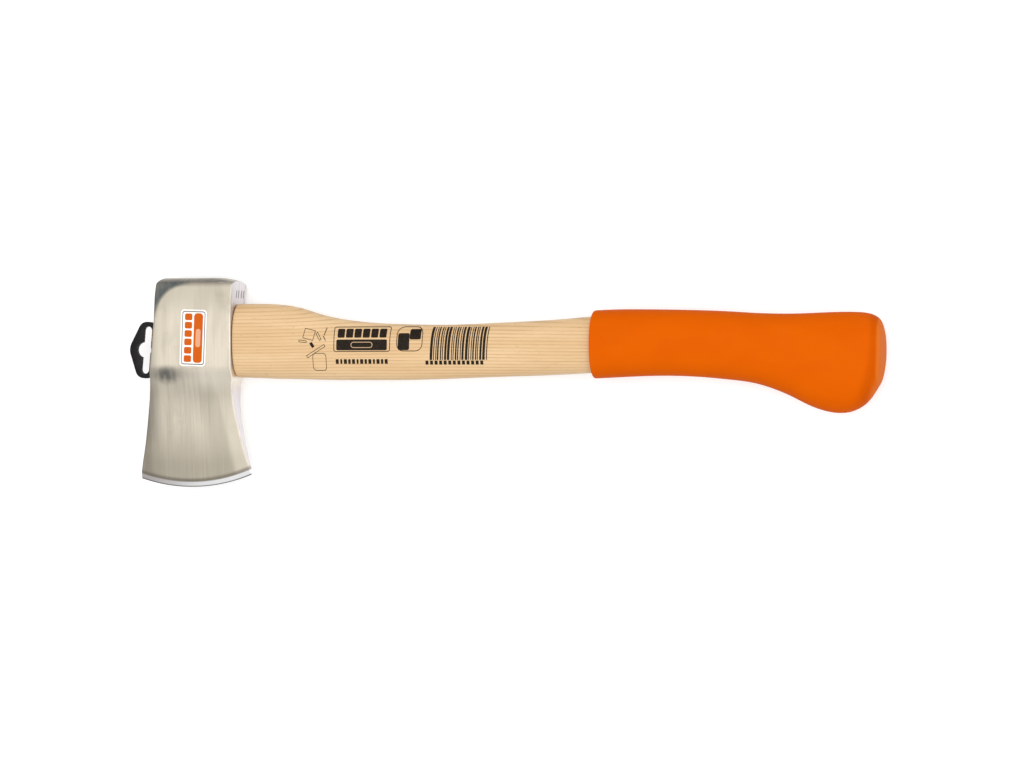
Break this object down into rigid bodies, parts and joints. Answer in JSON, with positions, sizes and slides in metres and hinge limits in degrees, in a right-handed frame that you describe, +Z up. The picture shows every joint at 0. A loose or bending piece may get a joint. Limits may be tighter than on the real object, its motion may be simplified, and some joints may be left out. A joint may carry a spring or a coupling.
{
  "type": "axe",
  "caption": "Small general-purpose axe: polished steel head, ash handle held by a wooden and a steel wedge, moulded orange grip, cheek label and a plastic hang tab in the eye.",
  "frame": {"origin": "below the middle of the axe's box, on the surface that the axe lies on", "axes": "the axe lies on its side: +X along the handle from the head to the knob of the grip, +Y from the cutting edge up to the poll, +Z up through the thickness of the head"},
  "size_m": [0.5072, 0.1382, 0.0338],
  "materials": {
    "head_steel": "ground and polished, clear lacquered",
    "ash": "sanded, clear oiled",
    "wedge_wood": "sawn",
    "wedge_steel": "mill finish",
    "black_plastic": "moulded, satin",
    "orange_rubber": "moulded, satin",
    "label_film": "printed film, satin"
  },
  "bodies": {
    "root": {"axe_head": "head_steel", "handle": "ash", "wooden_wedge": "wedge_wood", "steel_wedge": "wedge_steel", "hanger": "black_plastic", "grip": "orange_rubber", "cheek_label": "label_film"}
  },
  "joints": []
}
